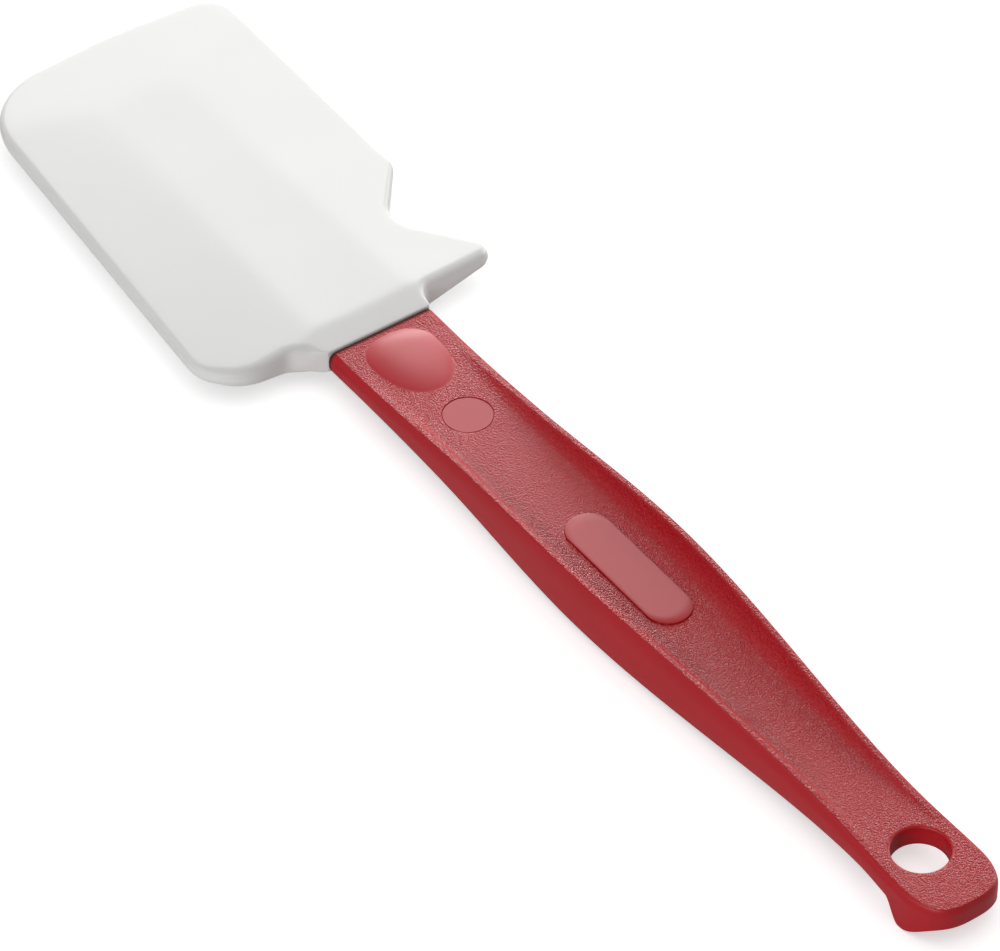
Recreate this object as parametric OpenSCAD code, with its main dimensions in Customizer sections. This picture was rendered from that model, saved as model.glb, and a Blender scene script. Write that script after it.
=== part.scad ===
// Bowl scraper: a soft blade moulded round the tang of a rigid handle.
// All lengths are in millimetres. +X runs from the blade to the end of the
// handle, +Z is up when the scraper lies on a counter. The origin is in the
// middle of the hanging hole, half way through its wall.

/* [Handle] */
// Length of the handle, from the seam with the blade to its end
handle_l = 216.2; // [200:0.2:250]
// Thickness of the web, the flat plate that runs all along the handle
web_t = 5.4; // [4.6:0.1:7]
// Half-width of the top at the neck
neck_hw = 12.9; // [12:0.1:14]
// Half-width of the top at the belly, the widest place of the grip
belly_hw = 14.2; // [12.6:0.1:17]
// Half-width of the top at the waist, before the hanging hole
waist_hw = 9.4; // [9:0.1:12]
// Half-width of the top round the hanging hole
end_hw = 9.9; // [9.6:0.1:13]
// Distance of the belly from the seam
belly_x = 91; // [75:1:110]
// Distance of the waist from the handle's end
waist_back = 32.6; // [28:0.2:45]
// How far the parting line stands outside the top edge
flare = 1.0; // [0.4:0.1:1.8]
// Extra flare at the neck, where the handle meets the blade
neck_flare = 0.4; // [0:0.1:1.2]
// Flare at the handle's end
end_flare = 0.6; // [0.4:0.1:1.2]

/* [Dished grip] */
// Height of the rims above the dish's floor at the belly
rim_h = 4.9; // [2:0.1:7]
// Depth of the belly below the web
belly_d = 3.9; // [2:0.1:4.6]
// Depth of the shallow dish in the underside
under_dish = 1.2; // [0.4:0.1:2]
// Width of the level top of a rim
rim_w = 1.5; // [0.8:0.1:2]
// Half-width of the dish's flat floor at the neck
floor_hw = 8; // [5:0.1:9.5]
// Half-width of the dish's flat floor at the belly
belly_floor_hw = 9.1; // [6:0.1:10]
// Half-width of the dish's flat floor from the middle of the waist on
waist_floor_hw = 5.6; // [4:0.1:7]
// Distance from the seam to the place where the dish begins
dish_x = 10; // [8:1:30]
// Distance from the handle's end to the place where the dish fades out
dish_back = 16.6; // [14:0.2:30]

/* [Neck domes] */
// Length of the egg-shaped dome
dome_l = 22.2; // [16:0.2:24]
// Half-width of the dome
dome_hw = 9; // [6:0.1:10]
// Distance from the seam to the dome's blunt end
dome_x = 2; // [1:0.1:4]
// Height of the thumb dome on the top
thumb_h = 1.4; // [1:0.1:5]

/* [End of the handle] */
// Radius of the hanging hole
hole_r = 6.35; // [4:0.05:6.6]
// Distance from the hole's axis to the handle's end
hole_back = 18.2; // [16:0.1:22]
// Radius that rounds the hole's two edges
hole_edge_r = 0.6; // [0.2:0.1:1]
// Radius of the clearance round the hole inside the heel
heel_clear_r = 7.6; // [7.4:0.1:8.4]
// Height of the heel and of the rest dome below the web
heel_h = 5.2; // [4.8:0.1:8]
// Distance from the heel's lowest line to the handle's end
heel_back = 11.2; // [10.8:0.1:13]

/* [Bare marks] */
// Radius of the plain round mark's ring groove
ring_r = 6; // [3:0.1:7]
// Distance of the round mark from the seam
ring_x = 34.8; // [32:0.1:50]
// Half-length of the plain oval pad
pad_hl = 20; // [8:0.5:30]
// Half-width of the plain oval pad
pad_hw = 5.6; // [3:0.1:7]
// Distance of the oval pad from the seam
pad_x = 95.5; // [85:0.5:110]
// Height of the oval pad
pad_h = 0.35; // [0.2:0.05:0.8]

/* [Tang] */
// Length of the tang inside the blade
tang_l = 90; // [60:1:104]
// Thickness of the tang
tang_t = 3.2; // [2:0.1:3.8]
// Half-width of the tang at its root
tang_root_hw = 9; // [7:0.1:11]
// Half-width of the tang at its tip
tang_tip_hw = 6.5; // [5:0.1:8]
// Radius of the tang's holes, which the blade's material fills
key_r = 3.6; // [2:0.1:4.2]
// Number of holes in the tang
key_count = 4; // [1:1:5]

/* [Blade] */
// Length of the blade, from the seam to the middle of its tip
blade_l = 127; // [118:0.5:150]
// Half-width on the rounded side, at the shoulder
round_shoulder_hw = 41.6; // [38:0.1:46]
// Half-width on the rounded side, at the tip
round_tip_hw = 31.7; // [29:0.1:36]
// Half-width on the notched side, at the tip
square_tip_hw = 37.8; // [35:0.1:42]
// Half-width on the notched side, before the notch
square_side_hw = 36.2; // [35:0.1:40]
// Radius of the large corner of the tip
big_corner_r = 21.8; // [10:0.2:24]
// Radius of the small corner of the tip
small_corner_r = 7.4; // [3:0.2:12]
// Radius of the rounded shoulder
shoulder_r = 12; // [4:0.2:13]
// Thickness of the blade along its long edges
edge_t = 4.2; // [3:0.1:5]
// Thickness of the blade along its tip
tip_t = 2; // [1:0.1:3]
// Thickness of the blade where its flat back ends near the tip
ridge_tip_t = 6.2; // [5.6:0.1:8]
// Thickness of the blade where its flat back ends near the handle
ridge_neck_t = 9.4; // [8.2:0.1:11]

/* [Rim notch] */
// Distance of the notch's deepest point from the seam
notch_x = 29.8; // [26:0.2:34]
// Distance of the notch's corner from the handle's centre line
notch_y = 22.2; // [20:0.2:26]
// Radius at the bottom of the notch
notch_r = 8.4; // [5:0.2:9]
// Reach of the hook's point from the handle's centre line
hook_y = 39.7; // [38:0.1:42]
// Radius of the hook's point
hook_r = 3; // [2:0.1:4]

/* [Fits] */
// Gap between the tang and the blade moulded round it
mould_gap = 0.05; // [0.02:0.01:0.2]
// Gap of the seam between the blade's collar and the handle
seam_gap = 0.2; // [0.1:0.05:0.4]

/* [Hidden] */

handle_red = [0.66, 0.11, 0.13];
blade_white = [0.93, 0.93, 0.92];

// Places along the handle, from the seam
hole_x = handle_l - hole_back;
waist_x = handle_l - waist_back;
heel_x = handle_l - heel_back;
top_end = handle_l - end_flare;
cap_l = 12;
cap_x = top_end - cap_l;
cap_power = 3;
belly_from = 42;
floor_run = 41;
dish_end = handle_l - dish_back;
dome_end = dome_x + dome_l;
heel_ramp = 5;
heel_run = 10.5;
draft_fade = 10;
dish_power = 1.45;
cove_power = 3;
neck_run = 40;
rest_z = -web_t / 2 - heel_h;
rest_cut = 0.8;

// Counts of the handle's stations and of the points across one station
neck_steps = 14;
grip_steps = 23;
heel_steps = 7;
cap_steps = 9;
floor_steps = 4;
side_steps = 5;
overlap = 0.01;
reach = 400;

function clamp01(t) = max(0, min(1, t));
function mix(a, b, t) = a + (b - a) * t;

// Smooth step from 0 at a to 1 at b
function ease(a, b, x) = let (t = clamp01((x - a) / (b - a))) t * t * (3 - 2 * t);

// Half-width of the grip's top, before its end is rounded
function body_hw(x) =
    x < belly_x ? mix(neck_hw, belly_hw, ease(belly_from, belly_x, x))
    : x < waist_x ? mix(belly_hw, waist_hw, ease(belly_x, waist_x, x))
    : mix(waist_hw, end_hw, ease(waist_x, cap_x, x));

// Half-width of the dish's flat floor at x
function floor_at(x) =
    x < belly_x ? mix(floor_hw, belly_floor_hw, ease(belly_from, belly_x, x))
    : mix(belly_floor_hw, waist_floor_hw, ease(belly_x, belly_x + floor_run, x));

// Share of the half-width that is left at x in the rounded end
function cap_share(x) =
    pow(max(0, 1 - pow(max(0, (x - cap_x) / cap_l), cap_power)), 1 / cap_power);

// Outward direction of the top's outline at x, in plan
function outward(x) =
    let (u = max(0, (x - cap_x) / cap_l),
         slope = body_hw(x + 0.5) - body_hw(x - 0.5),
         dx = x > cap_x ? pow(u, cap_power - 1) / cap_l : -slope,
         dy = x > cap_x ? pow(cap_share(x), cap_power - 1) / end_hw : 1,
         n = norm([dx, dy]))
    [dx / n, dy / n];

// How deep the dish is at x, from 0 at its ends to 1 at the middle
function dish(x) = pow(sin(180 * clamp01((x - dish_x) / (dish_end - dish_x))), dish_power);

// Height of an egg-shaped dome, as a share of its full height
function egg(x, y) =
    let (blunt = 0.34 * dome_l,
         from_wide = x - dome_x - blunt,
         u = abs(from_wide) / (from_wide < 0 ? blunt : dome_l - blunt),
         v = abs(y) / dome_hw)
    clamp01(1 - pow(u, 2.2) - pow(v, 2.2));

// Depth of the heel below the web at x
function heel(x) =
    heel_h * ease(heel_x - heel_ramp, heel_x - 0.3, x) * (1 - ease(heel_x + 0.5, heel_x + heel_run, x));

// Flare of the parting line at x
function flare_at(x) =
    mix(flare + neck_flare * (1 - ease(0, neck_run, x)), end_flare, ease(heel_x, heel_x + 7, x));

// How much of the draft below the parting line is left at x: none at the heel
function draft_at(x) = 1 - ease(heel_x - heel_ramp - draft_fade, heel_x - 2, x);

// Stations along the handle, closer together at the domes, the heel and the end
stations = concat(
    [for (i = [0:neck_steps - 1]) dome_end * i / neck_steps],
    [for (i = [0:grip_steps - 1]) mix(dome_end, heel_x - heel_ramp, i / grip_steps)],
    [for (i = [0:heel_steps - 1]) mix(heel_x - heel_ramp, cap_x, i / heel_steps)],
    [for (i = [0:cap_steps]) cap_x + cap_l * sin(90 * i / cap_steps)]);
last = len(stations) - 1;
cap_first = neck_steps + grip_steps + heel_steps;

// Points across the dish at x, from its middle to the rim: [share of the width, share of the depth]
function across(x) =
    let (hw = body_hw(x), level = floor_at(x))
    concat(
        [for (a = [0:floor_steps]) [level * a / floor_steps / hw, 0]],
        [for (b = [1:side_steps])
            [mix(level, hw - rim_w, b / side_steps) / hw, pow(b / side_steps, cove_power)]]);

// A point inside the outline: the rounded end shrinks towards its own centre
function inside(x, share, z) =
    [x > cap_x ? mix(cap_x, x, share) : x, body_hw(x) * cap_share(x) * share, z];

// A point on the side wall, o outside the top's outline
function on_wall(x, o, z) =
    let (n = outward(x)) [x + n[0] * o, body_hw(x) * cap_share(x) + n[1] * o, z];

// Half of one station's outline, from the middle of the top round to the middle of the underside
function half_station(x) =
    let (crossing = across(x),
         top = web_t / 2 + rim_h * dish(x),
         low = -web_t / 2 - belly_d * dish(x) - heel(x),
         f = flare_at(x),
         d = draft_at(x))
    concat(
        [for (p = crossing)
            let (q = inside(x, p[0], 0))
            [q[0], q[1], web_t / 2 + rim_h * dish(x) * p[1] + thumb_h * egg(q[0], q[1])]],
        [on_wall(x, -0.35, top - 0.05), on_wall(x, 0, top - 0.4)],
        [on_wall(x, 0.6 * f, top / 2), on_wall(x, f, 0)],
        [on_wall(x, f - 0.12 * d, low * 0.4), on_wall(x, f - 0.45 * d, low * 0.8 + 0.1)],
        [on_wall(x, f - 0.8 * d, low + 0.3), on_wall(x, f - 0.8 * d - 0.7, low)],
        [for (i = [floor_steps + side_steps:-1:0])
            let (p = crossing[i], q = inside(x, p[0], 0))
            [q[0], q[1], -web_t / 2 - (belly_d - under_dish * (1 - p[1])) * dish(x) - heel(q[0])
                - (heel_h + rest_cut) * egg(q[0], q[1])]]);

half_count = len(half_station(0));
round_count = 2 * half_count - 2;

// One whole station: the half outline and its mirror image
function station(x) =
    let (h = half_station(x))
    [for (k = [0:round_count - 1])
        k < half_count ? h[k] : let (p = h[round_count - k]) [p[0], -p[1], p[2]]];

// Index of a point. The rounded end shares its centre points, and its last station
// is one line, so both sides share that too.
function at(i, kk) =
    let (k = kk % round_count)
    (k == 0 || k == half_count - 1) && i > cap_first ? cap_first * round_count + k
    : i == last && k >= half_count ? i * round_count + round_count - k
    : i * round_count + k;

// The handle's body as one closed skin over its stations
module grip() {
    triangles = [for (i = [0:last - 1], k = [0:round_count - 1])
        let (a = at(i, k), b = at(i, k + 1), c = at(i + 1, k + 1), d = at(i + 1, k))
        each [[a, b, c], [a, c, d]]];
    neck_middle = len(stations) * round_count;
    polyhedron(
        points = concat([for (x = stations) each station(x)], [[0, 0, 0]]),
        faces = concat(
            [for (t = triangles) if (t[0] != t[1] && t[1] != t[2] && t[2] != t[0]) t],
            [for (k = [0:round_count - 1]) [neck_middle, at(0, k + 1), k]]));
}

// Flat bar with straight tapering sides and a round tip, g larger all round
module tang_bar(g) {
    tip_r = tang_tip_hw + g;
    translate([0, 0, -tang_t / 2 - g])
        linear_extrude(tang_t + 2 * g)
            union() {
                polygon([[0, -tang_root_hw - g], [0, tang_root_hw + g],
                         [-tang_l + tang_tip_hw, tip_r], [-tang_l + tang_tip_hw, -tip_r]]);
                translate([-tang_l + tang_tip_hw, 0]) circle(tip_r, $fn = 48);
            }
}

// Round keys through the tang, one for each hole
module keys(r, h) {
    pitch = (tang_l - 2 * tang_tip_hw) / key_count;
    for (i = [0:key_count - 1])
        translate([-pitch * (i + 0.75), 0, -h / 2])
            cylinder(r = r, h = h, $fn = 48);
}

// Cutter for the hanging hole: a bore with both of its edges rounded
module hanging_hole_cut() {
    half = web_t / 2;
    translate([hole_x, 0, -half - heel_h - 2]) cylinder(r = hole_r, h = web_t + heel_h + 4, $fn = 96);
    for (side = [0, 1])
        translate([hole_x, 0, 0]) mirror([0, 0, side])
            rotate_extrude($fn = 96)
                polygon(concat(
                    [for (a = [0:15:90])
                        [hole_r + hole_edge_r * (1 - cos(a)), half - hole_edge_r * (1 - sin(a))]],
                    [[hole_r + hole_edge_r, half + overlap], [hole_r - 0.5, half + overlap],
                     [hole_r - 0.5, half - hole_edge_r]]));
    translate([hole_x, 0, -half - heel_h - 2]) cylinder(r = heel_clear_r, h = heel_h + 2, $fn = 96);
}

// Oval pad: a plain raised place on the grip's floor
module oval_pad() {
    translate([pad_x, 0, web_t / 2 - 0.2])
        linear_extrude(pad_h + 0.2)
            union() {
                square([2 * (pad_hl - pad_hw), 2 * pad_hw], center = true);
                for (side = [-1, 1])
                    translate([side * (pad_hl - pad_hw), 0]) circle(pad_hw, $fn = 64);
            }
}

// Ring groove: the outline of a plain round mark
module ring_groove() {
    translate([ring_x, 0, web_t / 2 - 0.25])
        rotate_extrude($fn = 72) translate([ring_r - 0.3, 0]) square([0.3, 1]);
}

// Everything is drawn from the seam, then moved so that the hole is at the origin
module from_hole() {
    translate([-hole_x, 0, 0]) children();
}

module handle() {
    color(handle_red) from_hole() difference() {
        union() {
            grip();
            translate([1.5, 0, 0]) tang_bar(0);
            tang_bar(0);
            oval_pad();
        }
        hanging_hole_cut();
        ring_groove();
        keys(key_r, tang_t + 1);
        translate([-reach / 2, -reach / 2, rest_z - 20]) cube([reach * 2, reach, 20]);
    }
}

// Arc that rounds corner c between its neighbours p and n with radius r
function rounded(p, c, n, r) =
    let (u = (p - c) / norm(p - c), v = (n - c) / norm(n - c),
         half = acos(u * v) / 2,
         middle = c + (u + v) / norm(u + v) * r / sin(half),
         from = c + u * r / tan(half) - middle,
         to = c + v * r / tan(half) - middle,
         a = atan2(from[1], from[0]),
         turn = atan2(from[0] * to[1] - from[1] * to[0], from * to),
         steps = max(1, round(abs(turn) / 7)))
    [for (i = [0:steps]) middle + r * [cos(a + turn * i / steps), sin(a + turn * i / steps)]];

// Corners of the blade's outline: [x from the seam, y, radius]
collar_hw = neck_hw + 1.1;
shoulder_x = 5.4;
collar_spread = 7.5;
corners = [
    [-shoulder_x, -collar_hw - collar_spread, 5],
    [-shoulder_x, -round_shoulder_hw, shoulder_r],
    [-blade_l + 2.9, -round_tip_hw, big_corner_r],
    [-blade_l, 0.2 * square_tip_hw, 120],
    [-blade_l + 2, square_tip_hw, small_corner_r],
    [-notch_x - 17.5, square_side_hw, 4],
    [-notch_x, notch_y, notch_r],
    [-shoulder_x - 3.2, hook_y, hook_r],
    [-shoulder_x - 0.4, collar_hw + 1.6, 3]];

module blade_outline() {
    n = len(corners);
    starts = [0, -collar_hw];
    ends = [0, collar_hw];
    function place(i) = i < 0 ? starts : i >= n ? ends : [corners[i][0], corners[i][1]];
    polygon(concat(
        [starts],
        [for (i = [0:n - 1]) each rounded(place(i - 1), place(i), place(i + 1), corners[i][2])],
        [ends]));
}

// Solid between the blade's two hipped faces: a flat back, two long slopes,
// a slope to the tip and a short one down to the handle
module blade_roof() {
    tip_run = 26.5;
    short_run = 7.6;
    ridge_from = [-blade_l + tip_run, 11.3];
    ridge_to = [-short_run, neck_hw + 0.4];
    edge_y = (round_shoulder_hw + square_side_hw) / 2;
    far_y = edge_y + 8;
    // Thickness at far_y of a slope that is edge_t thick at the edge
    function slope_t(ridge) =
        edge_t - (ridge[1] - edge_t) * (far_y - edge_y) / (edge_y - ridge[0]);
    side_t = slope_t([ridge_from[1], ridge_tip_t]);
    // Place along the side where the tip's slope meets the long slope
    hip_x = ridge_from[0] - tip_run * (ridge_tip_t - side_t) / (ridge_tip_t - tip_t);
    rail = [
        [ridge_from[0], ridge_from[1], ridge_tip_t],
        [ridge_to[0], ridge_to[1], ridge_neck_t],
        [0, collar_hw + 0.2, web_t + 0.5],
        [-shoulder_x, far_y, slope_t([ridge_to[1], ridge_neck_t])],
        [hip_x, far_y, side_t],
        [-blade_l, far_y, tip_t]];
    hull()
        for (p = rail, sy = [-1, 1], sz = [-1, 1])
            translate([p[0], sy * p[1], sz * (p[2] - overlap) / 2])
                cube(overlap, center = true);
}

module blade() {
    color(blade_white) from_hole() difference() {
        intersection() {
            translate([0, 0, -10]) linear_extrude(20) blade_outline();
            blade_roof();
        }
        difference() {
            union() {
                tang_bar(mould_gap);
                translate([1, 0, 0]) tang_bar(mould_gap);
            }
            keys(key_r - mould_gap, tang_t + 1);
        }
        translate([-seam_gap, -reach / 2, -20]) cube([20, reach, 40]);
    }
}

handle();
blade();
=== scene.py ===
"""Bowl scraper: a red moulded handle with a dished grip, and a white silicone blade moulded round its tang.

Both pieces are worked out in millimetres from the seam where blade and handle meet, with +X towards the
handle's end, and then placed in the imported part's frame. The handle is built for y >= 0 and mirrored across
its middle plane; the blade is built for z >= 0 and mirrored across its own.
"""

import math

import bmesh
import bpy
import numpy as np
from mathutils import Matrix, Vector
from mathutils.geometry import delaunay_2d_cdt


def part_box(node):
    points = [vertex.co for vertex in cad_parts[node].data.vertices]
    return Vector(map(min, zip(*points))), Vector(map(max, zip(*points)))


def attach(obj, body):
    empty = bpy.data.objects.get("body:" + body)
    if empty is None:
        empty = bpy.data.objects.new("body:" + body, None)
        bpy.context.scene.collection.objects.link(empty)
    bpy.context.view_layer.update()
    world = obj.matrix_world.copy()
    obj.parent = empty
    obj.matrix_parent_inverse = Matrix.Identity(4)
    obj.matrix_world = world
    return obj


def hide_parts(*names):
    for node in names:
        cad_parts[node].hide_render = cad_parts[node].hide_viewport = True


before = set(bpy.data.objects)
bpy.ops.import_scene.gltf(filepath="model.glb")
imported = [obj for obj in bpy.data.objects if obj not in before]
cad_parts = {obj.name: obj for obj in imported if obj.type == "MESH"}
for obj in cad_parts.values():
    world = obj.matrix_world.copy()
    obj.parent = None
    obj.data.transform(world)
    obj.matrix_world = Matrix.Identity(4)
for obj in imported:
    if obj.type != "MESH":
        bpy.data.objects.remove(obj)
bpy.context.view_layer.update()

MM = 0.001

# Camera: where it looks, from which side and how far, in the part's frame
LOOK_AT_MM = (-142.87, -5.65, 2.7)
CAMERA_AZIMUTH = math.radians(-35.204)
CAMERA_ELEVATION = math.radians(43.434)
CAMERA_ROLL = math.radians(0.25)
CAMERA_DISTANCE_MM = 1310.2
SENSOR_MM = 36.0
LENS_MM = 212.9


def add_camera():
    """Camera on a sphere about its target. Its axes come from the view direction and the world's up."""
    back = Vector((
        math.cos(CAMERA_ELEVATION) * math.cos(CAMERA_AZIMUTH),
        math.cos(CAMERA_ELEVATION) * math.sin(CAMERA_AZIMUTH),
        math.sin(CAMERA_ELEVATION),
    ))
    across = Vector((0, 0, 1)).cross(back).normalized()
    up = back.cross(across)
    right = math.cos(CAMERA_ROLL) * across - math.sin(CAMERA_ROLL) * up
    top = math.sin(CAMERA_ROLL) * across + math.cos(CAMERA_ROLL) * up
    data = bpy.data.cameras.new("camera")
    data.sensor_width = SENSOR_MM
    data.lens = LENS_MM
    camera = bpy.data.objects.new("camera", data)
    place = (Vector(LOOK_AT_MM) + back * CAMERA_DISTANCE_MM) * MM
    camera.matrix_world = Matrix.Translation(place) @ Matrix((right, top, back)).transposed().to_4x4()
    bpy.context.scene.collection.objects.link(camera)
    bpy.context.scene.camera = camera


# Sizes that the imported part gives, in millimetres
handle_low, handle_high = (np.array(corner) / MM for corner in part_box("handle"))
blade_high = np.array(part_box("blade")[1]) / MM
SEAM_GAP = 0.2
SEAM_X = blade_high[0] + SEAM_GAP
HANDLE_L = handle_high[0] - SEAM_X
HOLE_S = -SEAM_X
REST_Z = handle_low[2]
TANG_L = SEAM_X - handle_low[0]

# Handle, in millimetres
WEB_T = 5.4
RIM_H = handle_high[2] - WEB_T / 2
BELLY_D = 3.9
HEEL_H = -REST_Z - WEB_T / 2
NECK_HW = 12.9
BELLY_HW = 14.2
WAIST_HW = 9.4
END_HW = 9.9
BELLY_FROM = 42
BELLY_S = 91
WAIST_S = HANDLE_L - 32.6
FLARE = 1.0
NECK_FLARE = 0.4
END_FLARE = 0.6
NECK_RUN = 40
CAP_L = 12
CAP_S = HANDLE_L - END_FLARE - CAP_L
CAP_POWER = 3
RIM_W = 1.5
RIM_EDGE = 0.4
RIM_BEND = 0.35
UNDER_EDGE = 0.45
UNDER_BEND = 1.0
LOW_DRAFT = 0.85
FLOOR_HW = 8
FLOOR_BELLY_HW = 9.1
FLOOR_WAIST_HW = 5.6
FLOOR_WAIST_S = 132
DISH_S = 10
DISH_END = HANDLE_L - 16.6
DISH_POWER = 1.45
COVE_POWER = 3
UNDER_DISH = 1.2
HEEL_S = HANDLE_L - 11.2
HEEL_RAMP = 5
HEEL_RUN = 10.5
HEEL_CLEAR_R = 7.6
HEEL_FOOT_R = HEEL_CLEAR_R + 0.3
HOLE_R = 6.35
HOLE_LIP = 0.6
REST_CUT = 0.8
SEAM_EDGE = 0.4

# Egg-shaped domes at the neck: a smooth one for the thumb, and one below that the tool rests on
DOME_L = 22.2
DOME_HW = 9
DOME_S = 2
DOME_BLUNT = 0.34 * DOME_L
DOME_CENTRE = DOME_S + DOME_BLUNT
THUMB_H = 1.4

# Windows cut for the domes and marks, as (from, to, half-width), in millimetres from the seam
DOME_WINDOW = (DOME_S - 0.9, DOME_S + DOME_L + 1.2, DOME_HW + 0.8)

# Bare marks on the grip's floor
RING_R = 6
RING_S = 34.8
RING_GROOVE = 0.24
RING_SINK = 0.06
RING_WINDOW = (RING_S - RING_R - 1, RING_S + RING_R + 1, RING_R + 1)
PAD_HL = 20
PAD_HW = 5.6
PAD_S = 95.5
PAD_H = 0.35
PAD_WINDOW = (PAD_S - PAD_HL - 1, PAD_S + PAD_HL + 1, PAD_HW + 0.8)

# Tang
TANG_T = 3.2
TANG_ROOT_HW = 9
TANG_TIP_HW = 6.5
KEY_R = 3.6
KEY_COUNT = 4
KEY_WINDOW = KEY_R + 1
MOULD_GAP = 0.05

# Blade, in millimetres
BLADE_L = 127
COLLAR_HW = 14.0
SHOULDER_X = 5.4
EDGE_HALF = 2.1
TIP_HALF = 1.0
RIDGE_TIP_X = -BLADE_L + 26.5
RIDGE_NECK_X = -7.6
RIDGE_TIP_Y = 11.3
RIDGE_NECK_Y = 13.3
RIDGE_TIP_HALF = 3.1
RIDGE_NECK_HALF = 4.7
COLLAR_HALF = 2.95
SLOPE_EDGE_Y = 38.9
BACK_SAG = 0.12


def mix(a, b, t):
    """Straight blend from a at t = 0 to b at t = 1."""
    return a + (b - a) * t


def ease(a, b, x):
    """Smooth step: 0 before a, 1 after b, 3t^2 - 2t^3 between them."""
    t = np.clip((x - a) / (b - a), 0, 1)
    return t * t * (3 - 2 * t)


# Finishes of the moulded surfaces, as the "grain" attribute holds them
ETCHED, POLISHED, RUBBED = 1.0, 0.0, -1.0


class Skin:
    """Patches of one surface, in millimetres from the seam. A patch is a grid of points; patches share
    their edge points exactly, and these are merged when the mesh is made."""

    def __init__(self):
        self.points, self.grain, self.quads, self.triangles = [], [], [], []
        self.count = 0

    def put(self, points, grain):
        """Adds points with their finish, and gives the index of the first."""
        points = np.asarray(points, float).reshape(-1, 3)
        self.points.append(points)
        self.grain.append(np.broadcast_to(np.asarray(grain, float).ravel(), len(points)))
        self.count += len(points)
        return self.count - len(points)

    def add(self, grid, grain=POLISHED, keep=None):
        """Adds grid[rows, columns, 3]. keep[rows - 1, columns - 1] is False where a cell stays open."""
        rows, columns = grid.shape[:2]
        grain = np.broadcast_to(grain, (rows, columns))
        index = self.put(grid, grain) + np.arange(rows * columns).reshape(rows, columns)
        cells = np.stack([index[:-1, :-1], index[1:, :-1], index[1:, 1:], index[:-1, 1:]], -1)
        self.quads.append(cells.reshape(-1, 4) if keep is None else cells[keep])

    def mirror(self, axis):
        """Adds the mirror image of everything so far across the plane where axis is 0."""
        flip = np.ones(3)
        flip[axis] = -1
        step = self.count
        self.quads += [q[:, ::-1] + step for q in self.quads]
        self.triangles += [t[:, ::-1] + step for t in self.triangles]
        self.points += [p * flip for p in self.points]
        self.grain += self.grain
        self.count *= 2

    def mesh(self, name):
        """One mesh in metres in the part's frame, with shared points merged and faces turned outwards."""
        points = (np.concatenate(self.points) + [SEAM_X, 0, 0]) * MM
        faces = [face for block in self.quads + self.triangles for face in block.tolist()]
        mesh = bpy.data.meshes.new(name)
        mesh.from_pydata(points.tolist(), [], faces)
        grain = mesh.attributes.new("grain", "FLOAT", "POINT")
        grain.data.foreach_set("value", np.concatenate(self.grain).astype(np.float32))
        work = bmesh.new()
        work.from_mesh(mesh)
        bmesh.ops.remove_doubles(work, verts=work.verts, dist=2e-6)
        bmesh.ops.dissolve_degenerate(work, edges=work.edges, dist=1e-7)
        bmesh.ops.recalc_face_normals(work, faces=work.faces)
        work.to_mesh(mesh)
        work.free()
        mesh.shade_smooth()
        mesh.set_sharp_from_angle(angle=math.radians(38))
        return mesh


def corner(start, control, end, steps):
    """Rounded corner: a quadratic curve from start to end, pulled to control, with its points on axis 1."""
    t = np.linspace(0, 1, steps)[None, :, None]
    return (1 - t) ** 2 * start + 2 * t * (1 - t) * control + t * t * end


# The handle's form

def grip_hw(s):
    """Half-width of the top: neck, belly, waist and end joined by smooth steps."""
    belly = mix(NECK_HW, BELLY_HW, ease(BELLY_FROM, BELLY_S, s))
    waist = mix(BELLY_HW, WAIST_HW, ease(BELLY_S, WAIST_S, s))
    end = mix(WAIST_HW, END_HW, ease(WAIST_S, CAP_S, s))
    return np.where(s < BELLY_S, belly, np.where(s < WAIST_S, waist, end))


def floor_hw(s):
    """Half-width of the dish's flat floor: widest at the belly, narrow at the waist."""
    belly = mix(FLOOR_HW, FLOOR_BELLY_HW, ease(BELLY_FROM, BELLY_S, s))
    return np.where(s < BELLY_S, belly, mix(FLOOR_BELLY_HW, FLOOR_WAIST_HW, ease(BELLY_S, FLOOR_WAIST_S, s)))


def dish(s):
    """Depth of the dish as a share: a sine arch from DISH_S to DISH_END, to the power 1.45."""
    return np.sin(np.pi * np.clip((s - DISH_S) / (DISH_END - DISH_S), 0, 1)).clip(0) ** DISH_POWER


def heel(s):
    """Depth of the heel below the web: a ramp down, a short level and a longer rise to the end."""
    down = ease(HEEL_S - HEEL_RAMP, HEEL_S - 0.3, s)
    return HEEL_H * down * (1 - ease(HEEL_S + 0.5, HEEL_S + HEEL_RUN, s))


def cove(s, y):
    """Share of the dish's height at y: 0 on the floor, then the cube of the way to the rim."""
    inner = grip_hw(s) - RIM_W
    return np.clip((np.abs(y) - floor_hw(s)) / (inner - floor_hw(s)), 0, 1) ** COVE_POWER


def top_z(s, y):
    """Height of the dished top between its rims."""
    return WEB_T / 2 + RIM_H * dish(s) * cove(s, y)


def under_z(s, y):
    """Height of the underside: web, belly with its shallow dish, and heel."""
    belly = (BELLY_D - UNDER_DISH * (1 - cove(s, y))) * dish(s)
    return np.maximum(-WEB_T / 2 - belly - heel(s), REST_Z)


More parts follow.
